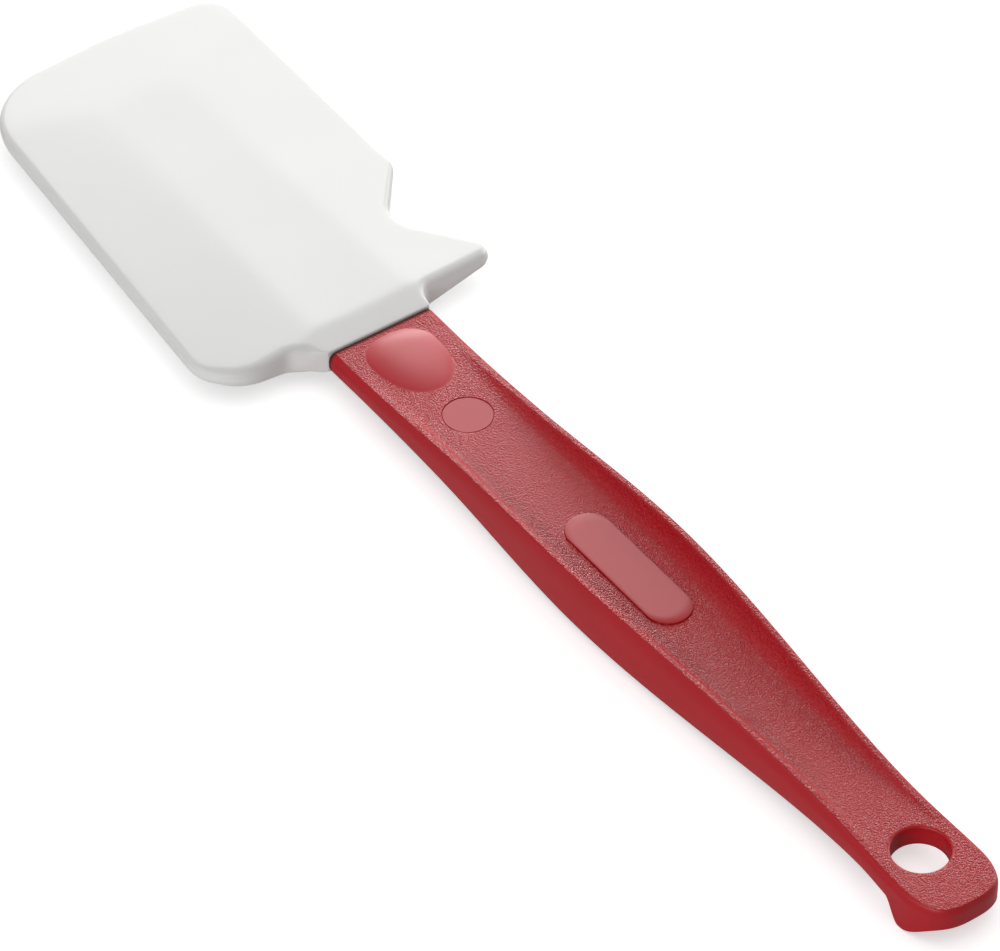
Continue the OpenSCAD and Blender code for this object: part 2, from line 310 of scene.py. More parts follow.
def side_path(station_s):
    """Half of the top's outline from the seam to the end: points, and their outward directions in plan.
    The end is a superellipse, |u|^3 + |v|^3 = 1, sampled evenly in u and then evenly in v."""
    diagonal = 0.5 ** (1 / CAP_POWER)
    rising = np.linspace(0, diagonal, 22)[1:]
    u = np.concatenate([rising, (1 - rising[-2::-1] ** CAP_POWER) ** (1 / CAP_POWER), [1]])
    v = (1 - u ** CAP_POWER).clip(0) ** (1 / CAP_POWER)
    straight = np.stack([station_s, grip_hw(station_s)], 1)
    step = 0.25
    slope = (grip_hw(station_s + step) - grip_hw(station_s - step)) / (2 * step)
    slope = np.where(station_s > CAP_S - step, 0, slope)
    straight_out = np.stack([-slope, np.ones_like(slope)], 1)
    cap = np.stack([CAP_S + CAP_L * u, END_HW * v], 1)
    cap_out = np.stack([u ** (CAP_POWER - 1) / CAP_L, v ** (CAP_POWER - 1) / END_HW], 1)
    out = np.concatenate([straight_out, cap_out])
    return np.concatenate([straight, cap]), out / np.linalg.norm(out, axis=1, keepdims=True)


def wall_section(s):
    """Section of the rim and side at each s, as rows of (distance outside the outline, height): the dish's
    edge, the flat rim with its tight edge, the side out to the parting line at z = 0, the side in again, and
    the rounded lower edge. The side is flare (1 - (z / top)^3) out above the line and
    flare - draft (z / low)^2.4 below it. The draft fades out at the heel."""
    s = s[:, None]
    top = WEB_T / 2 + RIM_H * dish(s)
    low = np.maximum(-WEB_T / 2 - BELLY_D * dish(s) - heel(s), REST_Z)
    flare = mix(FLARE + NECK_FLARE * (1 - ease(0, NECK_RUN, s)), END_FLARE, ease(HEEL_S, HEEL_S + 7, s))
    draft = LOW_DRAFT * (1 - ease(HEEL_S - HEEL_RAMP - 10, HEEL_S - 2, s))
    hw = grip_hw(s)
    rim_in = -RIM_W - RIM_BEND
    under_in = flare - draft - UNDER_BEND
    high = (top - RIM_EDGE) * np.linspace(1, 0, 9)
    deep = (low + UNDER_EDGE) * np.linspace(0, 1, 9)[1:]

    def rows(out, z):
        return np.stack(np.broadcast_arrays(out, z), -1).astype(float)

    high_side = rows(flare * (1 - (high / top) ** 3), high)
    low_side = rows(flare - draft * (deep / low) ** 2.4, deep)
    return np.concatenate([
        corner(rows(rim_in, top_z(s, hw + rim_in)), rows(-RIM_W, top), rows(RIM_BEND - RIM_W, top), 6),
        corner(rows(-0.9 * RIM_EDGE, top), rows(0.03, top), high_side[:, :1], 8),
        high_side[:, 1:],
        low_side,
        corner(low_side[:, -1:], rows(flare - draft, low),
               rows(under_in, under_z(s, hw + under_in)), 9)[:, 1:],
    ], 1)


# Rows of the section on the flat rim, which are etched, and on its tight edge, where the grain fades out
RIM_ROWS = 7
EDGE_ROWS = 4


def sheet(station_s, edge, shares, height):
    """Flat-wise patch between the middle line and an edge: x bends to the edge by share^4, y is share times
    the edge's y, and height(s, y) gives z. The last column is the edge itself."""
    c = shares[None, :]
    x = station_s[:, None] + c ** 4 * (edge[:, 0] - station_s)[:, None]
    y = c * edge[:, 1][:, None]
    grid = np.stack([x, y, height(x, y)], -1)
    grid[:, -1] = edge
    return grid


def window_loop(grid, first, last, column):
    """Half loop round the window of a sheet between two stations, from the middle line out to a column,
    along it and back to the middle line."""
    return np.concatenate([grid[first, :column + 1], grid[first + 1:last, column], grid[last, column::-1]])


def angles_about(loop, centre_s):
    """Angle of each point of a loop about a centre on the middle line."""
    return np.arctan2(loop[:, 1], loop[:, 0] - centre_s)


def polar(centre_s, radius, angle, z):
    """Points at a radius and angle about a centre on the middle line, at height z."""
    points = [centre_s + radius * np.cos(angle), radius * np.sin(angle), z]
    return np.stack(np.broadcast_arrays(*points), -1)


def rings_between(loop, inner, height, count):
    """Rings that go in straight lines from a loop to an inner ring, at the height of the surface."""
    t = np.linspace(0, 1, count)[:, None, None]
    rings = mix(loop[None], inner[None], t)
    rings[1:-1, :, 2] = height(rings[1:-1, :, 0], rings[1:-1, :, 1])
    return rings


def egg_radius(angle, inset):
    """Radius of the egg-shaped outline: (|cos| / length)^2.2 + (sin / width)^2.2, to the power -1/2.2."""
    length = np.where(np.cos(angle) < 0, DOME_BLUNT, DOME_L - DOME_BLUNT) - inset
    sides = np.abs(np.cos(angle) / length) ** 2.2 + np.abs(np.sin(angle) / (DOME_HW - inset)) ** 2.2
    return sides ** (-1 / 2.2)


def pad_radius(angle, inset):
    """Radius of the oval pad: its straight side, or the round end about a centre PAD_HL - PAD_HW away."""
    to_end = PAD_HL - PAD_HW
    half_width = PAD_HW - inset
    side = half_width / np.maximum(np.abs(np.sin(angle)), 1e-9)
    across = (to_end * np.sin(angle)) ** 2
    end = to_end * np.abs(np.cos(angle)) + np.sqrt(np.maximum(half_width ** 2 - across, 0))
    return np.where(side * np.abs(np.cos(angle)) < to_end, side, end)


def ring_radius(angle, inset):
    """Radius of the round mark, the same all round."""
    return RING_R - inset + 0 * angle


def raised_place(skin, loop, centre_s, radius, height, steps, finish, around):
    """Fills a window with a place of its own outline. steps are (share of the radius, inset, rise) rows
    from the outline inwards to the middle, and rise is added to the surface's own height. finish and around
    are the finishes inside the outline and between it and the window."""
    angle = angles_about(loop, centre_s)

    def ring(share, inset, rise):
        flat = polar(centre_s, share * radius(angle, inset), angle, 0)
        flat[:, 2] = height(flat[:, 0], flat[:, 1]) + rise
        return flat

    outline = ring(1, 0, 0)
    skin.add(rings_between(loop, outline, height, 5), around)
    inner = np.stack([outline] + [ring(*step) for step in steps])
    inner[-1] = inner[-1].mean(0) * [1, 0, 1]
    skin.add(inner, finish)


def dome_steps(rise):
    """Rows of a dome whose height is rise (1 - share^2.2), with a small fillet at its foot."""
    shares = np.concatenate([[0.985, 0.96], np.linspace(0.92, 0.04, 21), [0]])
    return [(m, 0, rise * (1 - m ** 2.2) * min(1, 0.55 + 6 * (1 - m))) for m in shares]


def build_handle():
    """The handle for y >= 0: dished top, underside, side wall, hanging hole, marks and tang."""
    skin = Skin()
    hole_from = HOLE_S - HOLE_R - 3
    station_s = np.concatenate([[0, 0.05, 0.13, 0.24, 0.4], np.linspace(0.9, hole_from, 280)])
    wall_s = np.concatenate([station_s, np.linspace(hole_from, CAP_S, 24)[1:]])
    path, outward = side_path(wall_s)
    path_s = np.minimum(path[:, 0], HANDLE_L - END_FLARE)
    section = wall_section(path_s)
    wall = np.concatenate([path[:, None] + outward[:, None] * section[..., :1], section[..., 1:]], -1)
    wall[-1, :, 1] = 0
    shares = np.linspace(0, 1, 27) ** 0.85
    last = len(station_s) - 1
    top = sheet(station_s, wall[:last + 1, 0], shares, top_z)
    under = sheet(station_s, wall[:last + 1, -1], shares, under_z)

    # End face at the seam, with its edges rounded: the first stations shrink towards the middle
    shrink = SEAM_EDGE * (1 - np.sqrt(1 - (1 - path_s / SEAM_EDGE).clip(0) ** 2))
    for grid in (top, under, wall):
        grid[..., 1] *= (1 - shrink[:len(grid)] / NECK_HW)[:, None]
        grid[..., 2] *= (1 - shrink[:len(grid)] * 2 / WEB_T)[:, None]

    rim_grain = np.concatenate([np.full(RIM_ROWS, ETCHED), np.linspace(ETCHED, POLISHED, EDGE_ROWS),
                                np.full(section.shape[1] - RIM_ROWS - EDGE_ROWS, POLISHED)])
    skin.add(wall, rim_grain[None, :])
    add_top(skin, top, station_s)
    add_under(skin, under, station_s)
    add_hanging_hole(skin, top, under, wall[last:], last)
    add_tang(skin, top[0], wall[0], under[0], shares)
    skin.mirror(1)
    return skin.mesh("handle_skin")


def near(stations, s):
    """Index of the station nearest to s."""
    return int(np.abs(stations - s).argmin())


def window_bounds(grid, stations, low, high, half):
    """First and last station, and column, of the window from low to high that is half wide on each side."""
    first, last = near(stations, low), near(stations, high)
    return first, last, int(np.abs(grid[(first + last) // 2, :, 1] - half).argmin())


def add_top(skin, top, station_s):
    """The dished top with windows for the thumb dome, the round mark and the oval pad."""
    keep = np.ones((top.shape[0] - 1, top.shape[1] - 1), bool)
    groove = [(1, 0.1, -RING_GROOVE), (1, 0.22, -RING_GROOVE), (1, 0.34, -RING_SINK), (0.8, 0, -RING_SINK),
              (0.4, 0, -RING_SINK), (0, 0, -RING_SINK)]
    pad = [(1, 0.04, 0.5 * PAD_H), (1, 0.1, 0.9 * PAD_H), (1, 0.18, PAD_H), (0.85, 0, PAD_H),
           (0.5, 0, PAD_H), (0.2, 0, PAD_H), (0, 0, PAD_H)]
    places = [
        (DOME_WINDOW, DOME_CENTRE, egg_radius, dome_steps(THUMB_H), RUBBED),
        (RING_WINDOW, RING_S, ring_radius, groove, POLISHED),
        (PAD_WINDOW, PAD_S, pad_radius, pad, POLISHED),
    ]
    for window, centre, radius, steps, finish in places:
        first, last, column = window_bounds(top, station_s, *window)
        keep[first:last, :column] = False
        loop = window_loop(top, first, last, column)
        raised_place(skin, loop, centre, radius, top_z, steps, finish, ETCHED)
    skin.add(top, ETCHED, keep)


def add_under(skin, under, station_s):
    """The underside with a window for the rest dome, which is cut flat where the tool lies on it."""
    keep = np.ones((under.shape[0] - 1, under.shape[1] - 1), bool)
    first, last, column = window_bounds(under, station_s, *DOME_WINDOW)
    keep[first:last, :column] = False
    loop = window_loop(under, first, last, column)
    before = len(skin.points)
    steps = dome_steps(-HEEL_H - REST_CUT)
    raised_place(skin, loop, DOME_CENTRE, egg_radius, under_z, steps, POLISHED, POLISHED)
    for points in skin.points[before:]:
        points[:, 2] = np.maximum(points[:, 2], REST_Z)
    skin.add(under, POLISHED, keep)


def add_hanging_hole(skin, top, under, wall, last):
    """The end round the hanging hole: rings from the outline to the hole on both faces, the hole's wall
    with two rounded lips, and the heel's clearance round it."""
    top_loop = np.concatenate([top[last], wall[1:, 0]])
    under_loop = np.concatenate([under[last], wall[1:, -1]])
    angle = angles_about(top_loop, HOLE_S)
    angle[0], angle[-1] = math.pi, 0
    half = WEB_T / 2
    lip = np.linspace(0, math.pi / 2, 6)
    lip_r = HOLE_R + HOLE_LIP * (1 - np.sin(lip))
    lip_z = half - HOLE_LIP * (1 - np.cos(lip))
    skin.add(rings_between(top_loop, polar(HOLE_S, lip_r[0], angle, half), top_z, 12), ETCHED)
    bore_r = np.concatenate([lip_r, lip_r[::-1]])
    bore_z = np.concatenate([lip_z, -lip_z[::-1]])
    skin.add(np.stack([polar(HOLE_S, r, angle, z) for r, z in zip(bore_r, bore_z)]))

    def at_heel(radius):
        return under_z(HOLE_S + radius * np.cos(angle), radius * np.abs(np.sin(angle)))

    foot = at_heel(HEEL_FOOT_R)
    cove_r = (lip_r[0], HEEL_CLEAR_R - 0.25, HEEL_CLEAR_R - 0.07, HEEL_CLEAR_R, HEEL_CLEAR_R,
              HEEL_CLEAR_R + 0.09, HEEL_FOOT_R)
    cove_share = (0, 0, 0.03, 0.1, 0.93, 0.99, 1)
    skin.add(np.stack([polar(HOLE_S, r, angle, mix(-half, foot, share))
                       for r, share in zip(cove_r, cove_share)]))
    skin.add(rings_between(under_loop, polar(HOLE_S, HEEL_FOOT_R, angle, foot), under_z, 14))


def tang_form(length, tip_r, root, tip):
    """Stations along the tang or its pocket, and the half-width at each: a straight taper from root to tip
    with a round end, root + (tip - root) t times sqrt(1 - (past / tip_r)^2)."""
    along = np.concatenate([np.linspace(0, length - tip_r, 80),
                            length - tip_r * (1 - np.sin(np.linspace(0, math.pi / 2, 12)[1:]))])
    straight = mix(root, tip, np.clip(along / (length - tip_r), 0, 1))
    past = np.clip(along - length + tip_r, 0, tip_r)
    return along, straight * np.sqrt(1 - (past / tip_r) ** 2)


def key_windows(stations):
    """Centre of each of the tang's holes, and the first and last station of the window round it."""
    pitch = (TANG_L - 2 * TANG_TIP_HW) / KEY_COUNT
    for key in range(KEY_COUNT):
        centre = -pitch * (key + 0.75)
        yield centre, near(stations, centre + KEY_WINDOW), near(stations, centre - KEY_WINDOW)


def add_tang(skin, top_edge, wall_edge, under_edge, shares):
    """The tang: a flat bar with a round tip and a row of through holes, and the handle's end face round
    its root."""
    along, half_width = tang_form(TANG_L, TANG_TIP_HW, TANG_ROOT_HW, TANG_TIP_HW)
    half = TANG_T / 2
    wall_rows = len(wall_edge)
    face = np.stack(np.broadcast_arrays(-along[:, None], shares[None] * half_width[:, None], half), -1)
    side_z = np.linspace(half, -half, wall_rows)[None]
    side = np.stack(np.broadcast_arrays(-along[:, None], half_width[:, None], side_z), -1)
    down = np.array([1, 1, -1])
    keep = np.ones((len(along) - 1, len(shares) - 1), bool)
    for centre, first, last in key_windows(-along):
        column = int(np.abs(face[last, :, 1] - KEY_WINDOW).argmin())
        keep[first:last, :column] = False
        loop = window_loop(face, first, last, column)
        circle = polar(centre, KEY_R, angles_about(loop, centre), half)
        circle[[0, -1], 1] = 0
        rings = rings_between(loop, circle, lambda s, y: half + 0 * s, 4)
        skin.add(rings)
        skin.add(rings * down)
        skin.add(np.stack([circle, circle * down]))
    skin.add(face, keep=keep)
    skin.add(face * down, keep=keep)
    skin.add(side)
    root = np.concatenate([face[0], side[0, 1:], (face[0] * down)[-2::-1]])
    end = np.concatenate([top_edge, wall_edge[1:], under_edge[-2::-1]])
    skin.add(np.stack([root, end]))


# The blade's form

def side_line(p, c, n, r):
    """Corner c between its neighbours p and n, rounded with radius r: points on the arc and their outward
    normals. The outline runs clockwise, so a corner that turns left is a hollow one."""
    p, c, n = (np.array(q, float) for q in (p, c, n))
    u, v = (p - c) / np.linalg.norm(p - c), (n - c) / np.linalg.norm(n - c)
    half = math.acos(np.clip(u @ v, -1, 1)) / 2
    middle = c + (u + v) / np.linalg.norm(u + v) * r / math.sin(half)
    start, end = c + u * r / math.tan(half) - middle, c + v * r / math.tan(half) - middle
    turn = math.atan2(start[0] * end[1] - start[1] * end[0], start @ end)
    steps = int(np.clip(abs(turn) * r / 0.7, 6, 44))
    angle = math.atan2(start[1], start[0]) + turn * np.linspace(0, 1, steps + 1)
    radial = np.stack([np.cos(angle), np.sin(angle)], 1)
    return middle + r * radial, radial if turn < 0 else -radial


POCKET_HW = TANG_ROOT_HW + MOULD_GAP

# Corners of the blade's outline, clockwise from the seam: x, y and radius
BLADE_CORNERS = [
    (-SEAM_GAP, -COLLAR_HW, 0.7),
    (-SHOULDER_X, -COLLAR_HW - 7.5, 5.4),
    (-SHOULDER_X, -41.6, 12),
    (-BLADE_L + 2.9, -31.7, 21.8),
    (-BLADE_L, 7.6, 120),
    (-BLADE_L + 2, 37.8, 7.4),
    (-47.3, 36.2, 4),
    (-29.8, 22.2, 8.4),
    (-SHOULDER_X - 3.2, 39.7, 3),
    (-SHOULDER_X - 0.4, COLLAR_HW + 1.6, 3.4),
    (-SEAM_GAP, COLLAR_HW, 0.7),
]

# Rounding of the blade's edge, as (reach, drop, bulge): all round, on the rear walls and at the seam
EDGE_ROUND = (1.3, 1.1, 0.2)
REAR_ROUND = (2.3, 1.7, 0.3)
SEAM_ROUND = (0.35, 0.3, 0.0)
TURN_ROWS = 9


def blade_path():
    """The blade's outline as a closed loop, clockwise from the middle of the seam: points and outward
    normals. Straight stretches are cut into steps of about 0.9 mm, and the pocket's corners are points."""
    count = len(BLADE_CORNERS)
    arcs = [side_line(BLADE_CORNERS[i - 1][:2], BLADE_CORNERS[i][:2],
                      BLADE_CORNERS[(i + 1) % count][:2], BLADE_CORNERS[i][2]) for i in range(count)]
    points, normals = [], []
    for i in range(count):
        points.append(arcs[i][0])
        normals.append(arcs[i][1])
        start, end = arcs[i][0][-1], arcs[(i + 1) % count][0][0]
        if i == count - 1:
            pocket = np.linspace(POCKET_HW, -POCKET_HW, 25)
            y = np.concatenate([np.linspace(start[1], POCKET_HW, 6)[1:-1], pocket,
                                np.linspace(-POCKET_HW, end[1], 6)[1:-1]])
            between = np.stack([np.full(len(y), -SEAM_GAP), y], 1)
        else:
            steps = max(1, round(np.linalg.norm(end - start) / 0.9))
            between = mix(start, end, np.linspace(0, 1, steps + 1)[1:-1, None])
        points.append(between)
        normals.append(np.broadcast_to(arcs[i][1][-1], between.shape))
    return np.concatenate(points), np.concatenate(normals)


def roof_z(x, y):
    """Half-thickness of the blade: the soft minimum of a flat back, two long slopes, a slope to the tip and
    one down to the handle. Its rounding is log(sum(exp(-k z))) / -k. The back sinks a little between its
    ridges, as a thick moulding does."""
    along = (x - RIDGE_TIP_X) / (RIDGE_NECK_X - RIDGE_TIP_X)
    ridge_y = mix(RIDGE_TIP_Y, RIDGE_NECK_Y, along)
    level = mix(RIDGE_TIP_HALF, RIDGE_NECK_HALF, along)
    sag = BACK_SAG * np.clip(1 - (y / ridge_y) ** 2, 0, 1)
    fall = (level - EDGE_HALF) / (SLOPE_EDGE_Y - ridge_y)
    tip = RIDGE_TIP_HALF + (x - RIDGE_TIP_X) * (RIDGE_TIP_HALF - TIP_HALF) / (RIDGE_TIP_X + BLADE_L)
    collar = COLLAR_HALF - x * (RIDGE_NECK_HALF - COLLAR_HALF) / -RIDGE_NECK_X
    faces = np.stack([level - sag, level - (y - ridge_y) * fall, level + (y + ridge_y) * fall, tip, collar])
    softness = 9.0
    return -np.log(np.exp(-softness * faces).sum(0)) / softness


def edge_sizes(path):
    """Rounding of the blade's edge at each outline point: how far in it starts, how far down it goes, and
    how far the wall bulges at the middle plane. Fuller on the rear walls beside the collar, small at the
    seam."""
    x, y = path.T
    rear = ease(-14, -9, x) * ease(13.5, 17, np.abs(y)) * (1 - 0.5 * ease(33, 38, y))
    seam = ease(-3.0, -0.4, x)
    return [mix(mix(free, full, rear), small, seam)
            for free, full, small in zip(EDGE_ROUND, REAR_ROUND, SEAM_ROUND)]


def inside_loop(points, loop):
    """True for points inside a closed loop: a ray to +x crosses it an odd number of times."""
    a, b = loop, np.roll(loop, -1, 0)
    px, py = points[:, None, 0], points[:, None, 1]
    spans = (a[:, 1] > py) != (b[:, 1] > py)
    rise = np.where(b[:, 1] == a[:, 1], 1, b[:, 1] - a[:, 1])
    hit = a[:, 0] + (py - a[:, 1]) * (b[:, 0] - a[:, 0]) / rise
    return (spans & (px < hit)).sum(1) % 2 == 1


def build_blade():
    """The blade for z >= 0: rounded edge and wall along the outline, the roof inside it as a net of
    near-equal triangles, and the pocket that holds the tang with its keys."""
    skin = Skin()
    path, out = blade_path()
    reach, drop, bulge = edge_sizes(path)
    drop = np.minimum(drop, 0.75 * roof_z(*(path - out * reach[:, None]).T))
    turn = np.linspace(0, math.pi / 2, TURN_ROWS)[None]
    inset = reach[:, None] * (1 - np.sin(turn))
    xy = path[:, None] - out[:, None] * inset[..., None]
    z = roof_z(xy[..., 0], xy[..., 1]) - drop[:, None] * (1 - np.cos(turn))
    foot = z[:, -1:]
    half = TANG_T / 2 + MOULD_GAP
    on_seam = ease(-0.6, -0.3, path[:, :1]) * (np.abs(path[:, 1:]) < COLLAR_HW)
    middle = mix(0.45 * foot, half, on_seam)
    low_z = np.concatenate([mix(foot, middle, np.linspace(0, 1, 4)[None, 1:]),
                            mix(middle, 0, np.linspace(0, 1, 4)[None, 1:])], 1)
    swell = bulge[:, None] * (1 - (low_z / foot) ** 2)
    low_xy = path[:, None] + out[:, None] * swell[..., None]
    band = np.concatenate([np.concatenate([xy, low_xy], 1),
                           np.concatenate([z, low_z], 1)[..., None]], -1)
    band = np.concatenate([band, band[:1]])
    mouth = np.flatnonzero((path[:, 0] > -SEAM_GAP - 1e-6) & (np.abs(path[:, 1]) < POCKET_HW + 1e-6))
    keep = np.ones((len(band) - 1, band.shape[1] - 1), bool)
    mouth_row = TURN_ROWS + 2
    keep[mouth[0]:mouth[-1], mouth_row:] = False
    skin.add(band, keep=keep)
    add_roof(skin, band[:-1, 0])
    add_pocket(skin, band[mouth, mouth_row], band[mouth[0], mouth_row:], band[mouth[-1], mouth_row:])
    skin.mirror(2)
    return skin.mesh("blade_skin")


def add_roof(skin, rim):
    """The roof inside the edge: a Delaunay net over a triangular grid of points, lifted to the roof."""
    step = 1.15
    low, high = rim[:, :2].min(0), rim[:, :2].max(0)
    rows = np.arange(low[1], high[1], step * math.sqrt(3) / 2)
    x, y = np.meshgrid(np.arange(low[0], high[0], step), rows)
    x = x + step / 2 * (np.arange(len(rows)) % 2)[:, None]
    grid = np.stack([x.ravel(), y.ravel()], 1)
    grid = grid[inside_loop(grid, rim[:, :2])]
    gap = np.sqrt(((grid[:, None] - rim[None, :, :2]) ** 2).sum(-1).min(1))
    grid = grid[gap > 0.6 * step]
    plan = np.concatenate([rim[:, :2], grid])
    count = len(rim)
    edges = [(i, (i + 1) % count) for i in range(count)]
    net = delaunay_2d_cdt([Vector(p) for p in plan.tolist()], edges, [], 1, 1e-6)
    where = np.array([tuple(p) for p in net[0]])
    points = np.concatenate([where, roof_z(where[:, 0], where[:, 1])[:, None]], 1)
    points[:count] = rim
    first = skin.put(points, POLISHED)
    skin.triangles.append(np.array(net[2]) + first)


def add_pocket(skin, mouth, side_low, side_high):
    """The pocket for the tang, from its mouth at the seam to its round end, with the round keys that pass
    through the tang's holes. Its side walls narrow as the tang does."""
    length = TANG_L + MOULD_GAP
    tip_r = TANG_TIP_HW + MOULD_GAP
    along, narrow = tang_form(length, tip_r, 1, tip_r / POCKET_HW)
    x = -along
    x[0] = -SEAM_GAP

    def run(edge):
        return np.stack(np.broadcast_arrays(x[:, None], edge[None, :, 1] * narrow[:, None],
                                            edge[None, :, 2]), -1)

    roof = run(mouth)
    keep = np.ones((len(x) - 1, len(mouth) - 1), bool)
    middle = len(mouth) // 2
    radius = KEY_R - MOULD_GAP
    for centre, first, last in key_windows(x):
        column = int(np.abs(np.abs(roof[last, middle:, 1]) - KEY_WINDOW).argmin())
        keep[first:last, middle - column:middle + column] = False
        window = roof[first:last + 1, middle - column:middle + column + 1]
        loop = np.concatenate([window[0], window[1:-1, -1], window[-1, ::-1], window[-2::-1, 0]])
        circle = polar(centre, radius, angles_about(loop, centre), loop[0, 2])
        skin.add(rings_between(loop, circle, lambda s, y: loop[0, 2] + 0 * s, 4))
        skin.add(np.stack([circle, circle * [1, 1, 0]]))
    skin.add(roof, keep=keep)
    for edge in (side_low, side_high):
        skin.add(run(edge))


# Materials

def linear(colour):
    """sRGB hex colour as linear RGBA."""
    parts = [int(colour[i:i + 2], 16) / 255 for i in (1, 3, 5)]
    return [p / 12.92 if p <= 0.04045 else ((p + 0.055) / 1.055) ** 2.4 for p in parts] + [1.0]


def add_node(tree, kind, inputs=None, **settings):
    """Adds a node with its settings. An input that is a socket is linked, anything else is its value."""
    node = tree.nodes.new(kind)
    for key, value in settings.items():
        setattr(node, key, value)
    for key, value in (inputs or {}).items():
        if isinstance(value, bpy.types.NodeSocket):
            tree.links.new(value, node.inputs[key])
        else:
            node.inputs[key].default_value = value
    return node


def new_material(name):
    """An empty material with its node tree and output."""
    material = bpy.data.materials.new(name)
    material.use_nodes = True
    tree = material.node_tree
    tree.nodes.clear()
    return material, tree, tree.nodes.new("ShaderNodeOutputMaterial")


def per_metre(size_mm):
    """Texture scale at which one feature of the pattern is size_mm wide."""
    return 1 / (size_mm * MM)


# Grain of the grip's top, and the dark line along the seam, in millimetres
LEATHER_W = 0.46
LEATHER_H = 0.13
SEAM_DARK = 0.6
SEAM_DARK_END = 1.5


def moulded_nylon():
    """Glass-filled nylon, injection moulded and dyed through: a deep red. The grip's top comes from an
    etched mould and has a fine leather grain; the sides and marks come from polished steel, and the thumb
    dome is rubbed a little pale. A dark, matt line along the seam stands for the shade in it."""
    material, tree, output = new_material("moulded_nylon")
    place = add_node(tree, "ShaderNodeTexCoord").outputs["Object"]
    grain = add_node(tree, "ShaderNodeAttribute", attribute_name="grain").outputs["Fac"]
    leather = add_node(tree, "ShaderNodeTexNoise", {
        "Vector": place, "Scale": per_metre(LEATHER_W), "Detail": 1.0, "Roughness": 0.5,
        "Distortion": 0.4,
    }).outputs["Fac"]
    leather = add_node(tree, "ShaderNodeMapRange", {
        "Value": leather, "From Min": 0.3, "From Max": 0.7,
    }, interpolation_type="SMOOTHSTEP").outputs["Result"]
    etched = add_node(tree, "ShaderNodeMapRange", {"Value": grain}).outputs["Result"]
    rubbed = add_node(tree, "ShaderNodeMapRange", {
        "Value": grain, "From Min": POLISHED, "From Max": RUBBED,
    }).outputs["Result"]
    height = add_node(tree, "ShaderNodeMath", {0: leather, 1: etched}, operation="MULTIPLY").outputs[0]
    flow = add_node(tree, "ShaderNodeTexNoise", {
        "Vector": place, "Scale": per_metre(9), "Detail": 3.0,
    }).outputs["Fac"]
    colour = add_node(tree, "ShaderNodeMix", {
        "Factor": flow, "A": linear("#AD0D1A"), "B": linear("#B5101D"),
    }, data_type="RGBA").outputs["Result"]
    colour = add_node(tree, "ShaderNodeMix", {
        "Factor": rubbed, "A": colour, "B": linear("#BC2C34"),
    }, data_type="RGBA").outputs["Result"]
    along = add_node(tree, "ShaderNodeSeparateXYZ", {"Vector": place}).outputs["X"]
    from_seam = add_node(tree, "ShaderNodeMapRange", {
        "Value": along, "From Min": (SEAM_X + SEAM_DARK) * MM, "From Max": (SEAM_X + SEAM_DARK_END) * MM,
    }).outputs["Result"]
    colour = add_node(tree, "ShaderNodeMix", {
        "Factor": from_seam, "A": linear("#3A0508"), "B": colour,
    }, data_type="RGBA").outputs["Result"]
    roughness = add_node(tree, "ShaderNodeMapRange", {
        "Value": etched, "To Min": 0.41, "To Max": 0.38,
    }).outputs["Result"]
    roughness = add_node(tree, "ShaderNodeMix", {
        "Factor": from_seam, "A": 0.9, "B": roughness,
    }).outputs["Result"]
    bump = add_node(tree, "ShaderNodeBump", {
        "Height": height, "Strength": 1.0, "Distance": LEATHER_H * MM,
    }).outputs["Normal"]
    surface = add_node(tree, "ShaderNodeBsdfPrincipled", {
        "Base Color": colour, "Roughness": roughness, "IOR": 1.53, "Specular IOR Level": 0.3,
        "Normal": bump,
    })
    tree.links.new(surface.outputs[0], output.inputs["Surface"])
    return material


def moulded_silicone():
    """White food-grade silicone, compression moulded in a bead-blasted mould: soft satin, faintly
    translucent at its thin edge. The blast's marks are too fine to measure in the photo, and their width
    of 0.5 mm is a guess."""
    material, tree, output = new_material("silicone")
    place = add_node(tree, "ShaderNodeTexCoord").outputs["Object"]
    blast = add_node(tree, "ShaderNodeTexNoise", {
        "Vector": place, "Scale": per_metre(0.5), "Detail": 2.0,
    }).outputs["Fac"]
    flow = add_node(tree, "ShaderNodeTexNoise", {
        "Vector": place, "Scale": per_metre(22), "Detail": 2.0,
    }).outputs["Fac"]
    roughness = add_node(tree, "ShaderNodeMapRange", {
        "Value": flow, "To Min": 0.42, "To Max": 0.5,
    }).outputs["Result"]
    bump = add_node(tree, "ShaderNodeBump", {
        "Height": blast, "Strength": 0.15, "Distance": 0.02 * MM,
    }).outputs["Normal"]
    surface = add_node(tree, "ShaderNodeBsdfPrincipled", {
        "Base Color": linear("#EDEDEB"), "Roughness": roughness, "IOR": 1.41, "Normal": bump,
        "Subsurface Weight": 0.25, "Subsurface Radius": (1.0, 0.95, 0.9), "Subsurface Scale": 1.2 * MM,
    })
    tree.links.new(surface.outputs[0], output.inputs["Surface"])
    return material


def any_ray(tree, *kinds):
    """1 for a ray of any of these kinds, else 0."""
    path = add_node(tree, "ShaderNodeLightPath")
    seen = path.outputs[kinds[0]]
    for kind in kinds[1:]:
        seen = add_node(tree, "ShaderNodeMath", {0: seen, 1: path.outputs[kind]},
                        operation="MAXIMUM").outputs[0]
    return seen


FLOOR_GLOW = 0.6


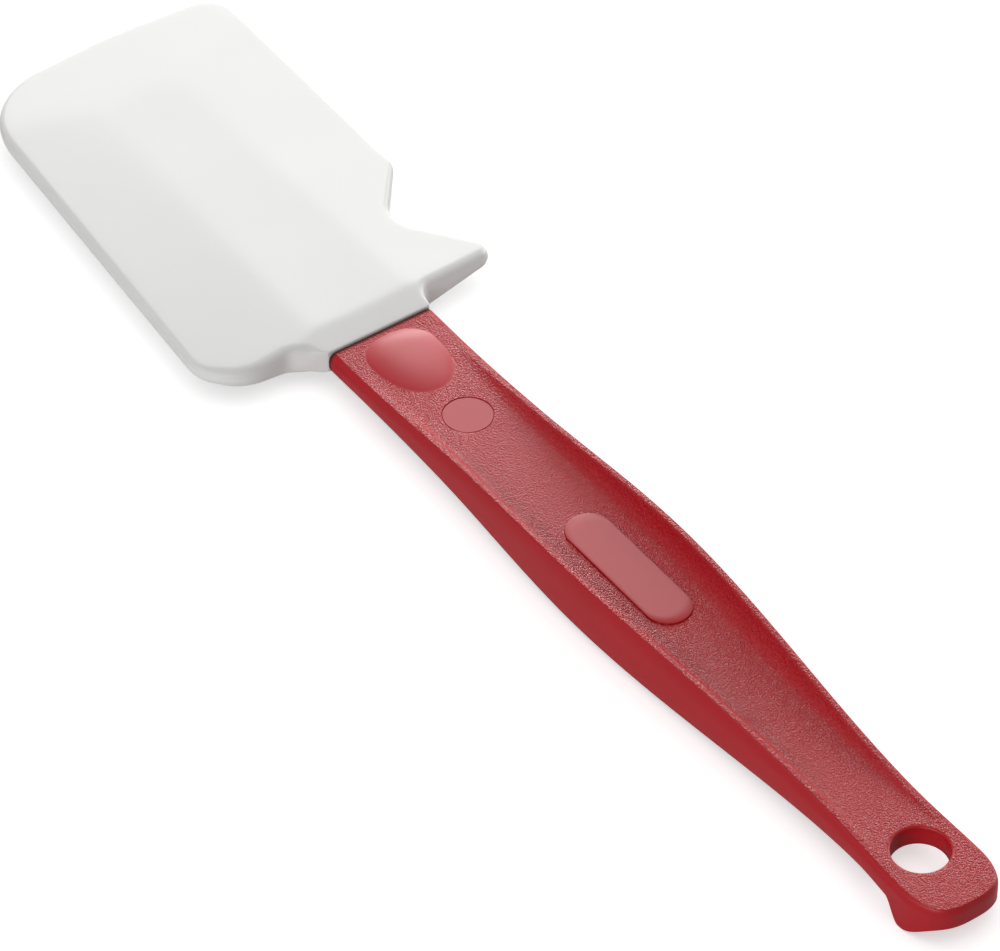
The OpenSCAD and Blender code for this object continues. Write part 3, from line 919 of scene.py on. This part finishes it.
def paper_floor():
    """Matt white studio paper. Seen directly or through something clear it also glows, so that it reads as
    white while the shadow on it stays; the object is lit by it as by plain paper."""
    material, tree, output = new_material("studio_paper")
    paper = add_node(tree, "ShaderNodeBsdfDiffuse", {"Color": linear("#F2F2F2")})
    glow = add_node(tree, "ShaderNodeEmission", {"Color": linear("#FFFFFF"), "Strength": FLOOR_GLOW})
    both = add_node(tree, "ShaderNodeAddShader", {0: paper.outputs[0], 1: glow.outputs[0]})
    seen = any_ray(tree, "Is Camera Ray", "Is Transmission Ray")
    mixed = add_node(tree, "ShaderNodeMixShader", {"Fac": seen, 1: paper.outputs[0], 2: both.outputs[0]})
    tree.links.new(mixed.outputs[0], output.inputs["Surface"])
    return material


# Studio

FLOOR_HALF_M = 6.0
WORLD_LEVEL = 0.02
# Soft boxes for the tool: name, azimuth and elevation as seen from it, distance, width, height, power
SOFT_BOXES = [
    ("back_low_light", 145, 12, 1.8, 0.9, 0.55, 15.1),
    ("back_high_light", 145, 42, 1.8, 0.9, 0.55, 13.8),
    ("side_light", 92, 12, 1.8, 0.9, 0.55, 17.4),
    ("front_light", -60, 28, 1.8, 0.9, 0.9, 13.8),
    ("fill_light", -90, 30, 1.8, 0.9, 0.9, 5.7),
]
# One wide panel straight above lights the paper only, and gives it a short soft shadow all round
PAPER_PANEL = ("paper_panel", 0, 90, 1.6, 3.2, 3.2, 33.7)


def add_light(lit, name, azimuth, elevation, distance, width, height, power):
    """A rectangular soft box that faces the tool and lights one collection of objects."""
    azimuth, elevation = math.radians(azimuth), math.radians(elevation)
    way = Vector((math.cos(elevation) * math.cos(azimuth), math.cos(elevation) * math.sin(azimuth),
                  math.sin(elevation)))
    data = bpy.data.lights.new(name, "AREA")
    data.shape = "RECTANGLE"
    data.size, data.size_y, data.energy = width, height, power
    light = bpy.data.objects.new(name, data)
    light.location = (Vector(LOOK_AT_MM) * MM) + way * distance
    light.rotation_mode = "QUATERNION"
    light.rotation_quaternion = way.to_track_quat("Z", "Y")
    light.light_linking.receiver_collection = lit
    bpy.context.scene.collection.objects.link(light)


def add_studio():
    """White background, a paper floor and the lights. Returns the collection that the soft boxes light. The
    world is white to the eye, in reflections and through clear things, and nearly dark as a light."""
    world = bpy.data.worlds.new("studio")
    world.use_nodes = True
    tree = world.node_tree
    tree.nodes.clear()
    seen = any_ray(tree, "Is Camera Ray", "Is Glossy Ray", "Is Transmission Ray")
    level = add_node(tree, "ShaderNodeMapRange", {"Value": seen, "To Min": WORLD_LEVEL, "To Max": 1.0})
    sky = add_node(tree, "ShaderNodeBackground", {
        "Color": linear("#FFFFFF"), "Strength": level.outputs["Result"],
    })
    output = add_node(tree, "ShaderNodeOutputWorld", {"Surface": sky.outputs[0]})
    output.is_active_output = True
    bpy.context.scene.world = world

    corners = [(x * FLOOR_HALF_M, y * FLOOR_HALF_M, REST_Z * MM) for x, y in
               ((-1, -1), (1, -1), (1, 1), (-1, 1))]
    mesh = bpy.data.meshes.new("floor")
    mesh.from_pydata(corners, [], [(0, 1, 2, 3)])
    mesh.materials.append(paper_floor())
    floor = bpy.data.objects.new("floor", mesh)
    bpy.context.scene.collection.objects.link(floor)

    paper = bpy.data.collections.new("lit_paper")
    paper.objects.link(floor)
    add_light(paper, *PAPER_PANEL)
    tool = bpy.data.collections.new("lit_tool")
    for box in SOFT_BOXES:
        add_light(tool, *box)
    return tool


def add_piece(mesh, material, node_name, lit):
    """Places a finished mesh as the piece that stands for a CAD node, in the light of the soft boxes."""
    mesh.materials.append(material)
    piece = bpy.data.objects.new(mesh.name, mesh)
    bpy.context.scene.collection.objects.link(piece)
    lit.objects.link(piece)
    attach(piece, "root")
    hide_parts(node_name)


bpy.context.scene.view_settings.view_transform = "Standard"
add_camera()
lit_tool = add_studio()
add_piece(build_handle(), moulded_nylon(), "handle", lit_tool)
add_piece(build_blade(), moulded_silicone(), "blade", lit_tool)
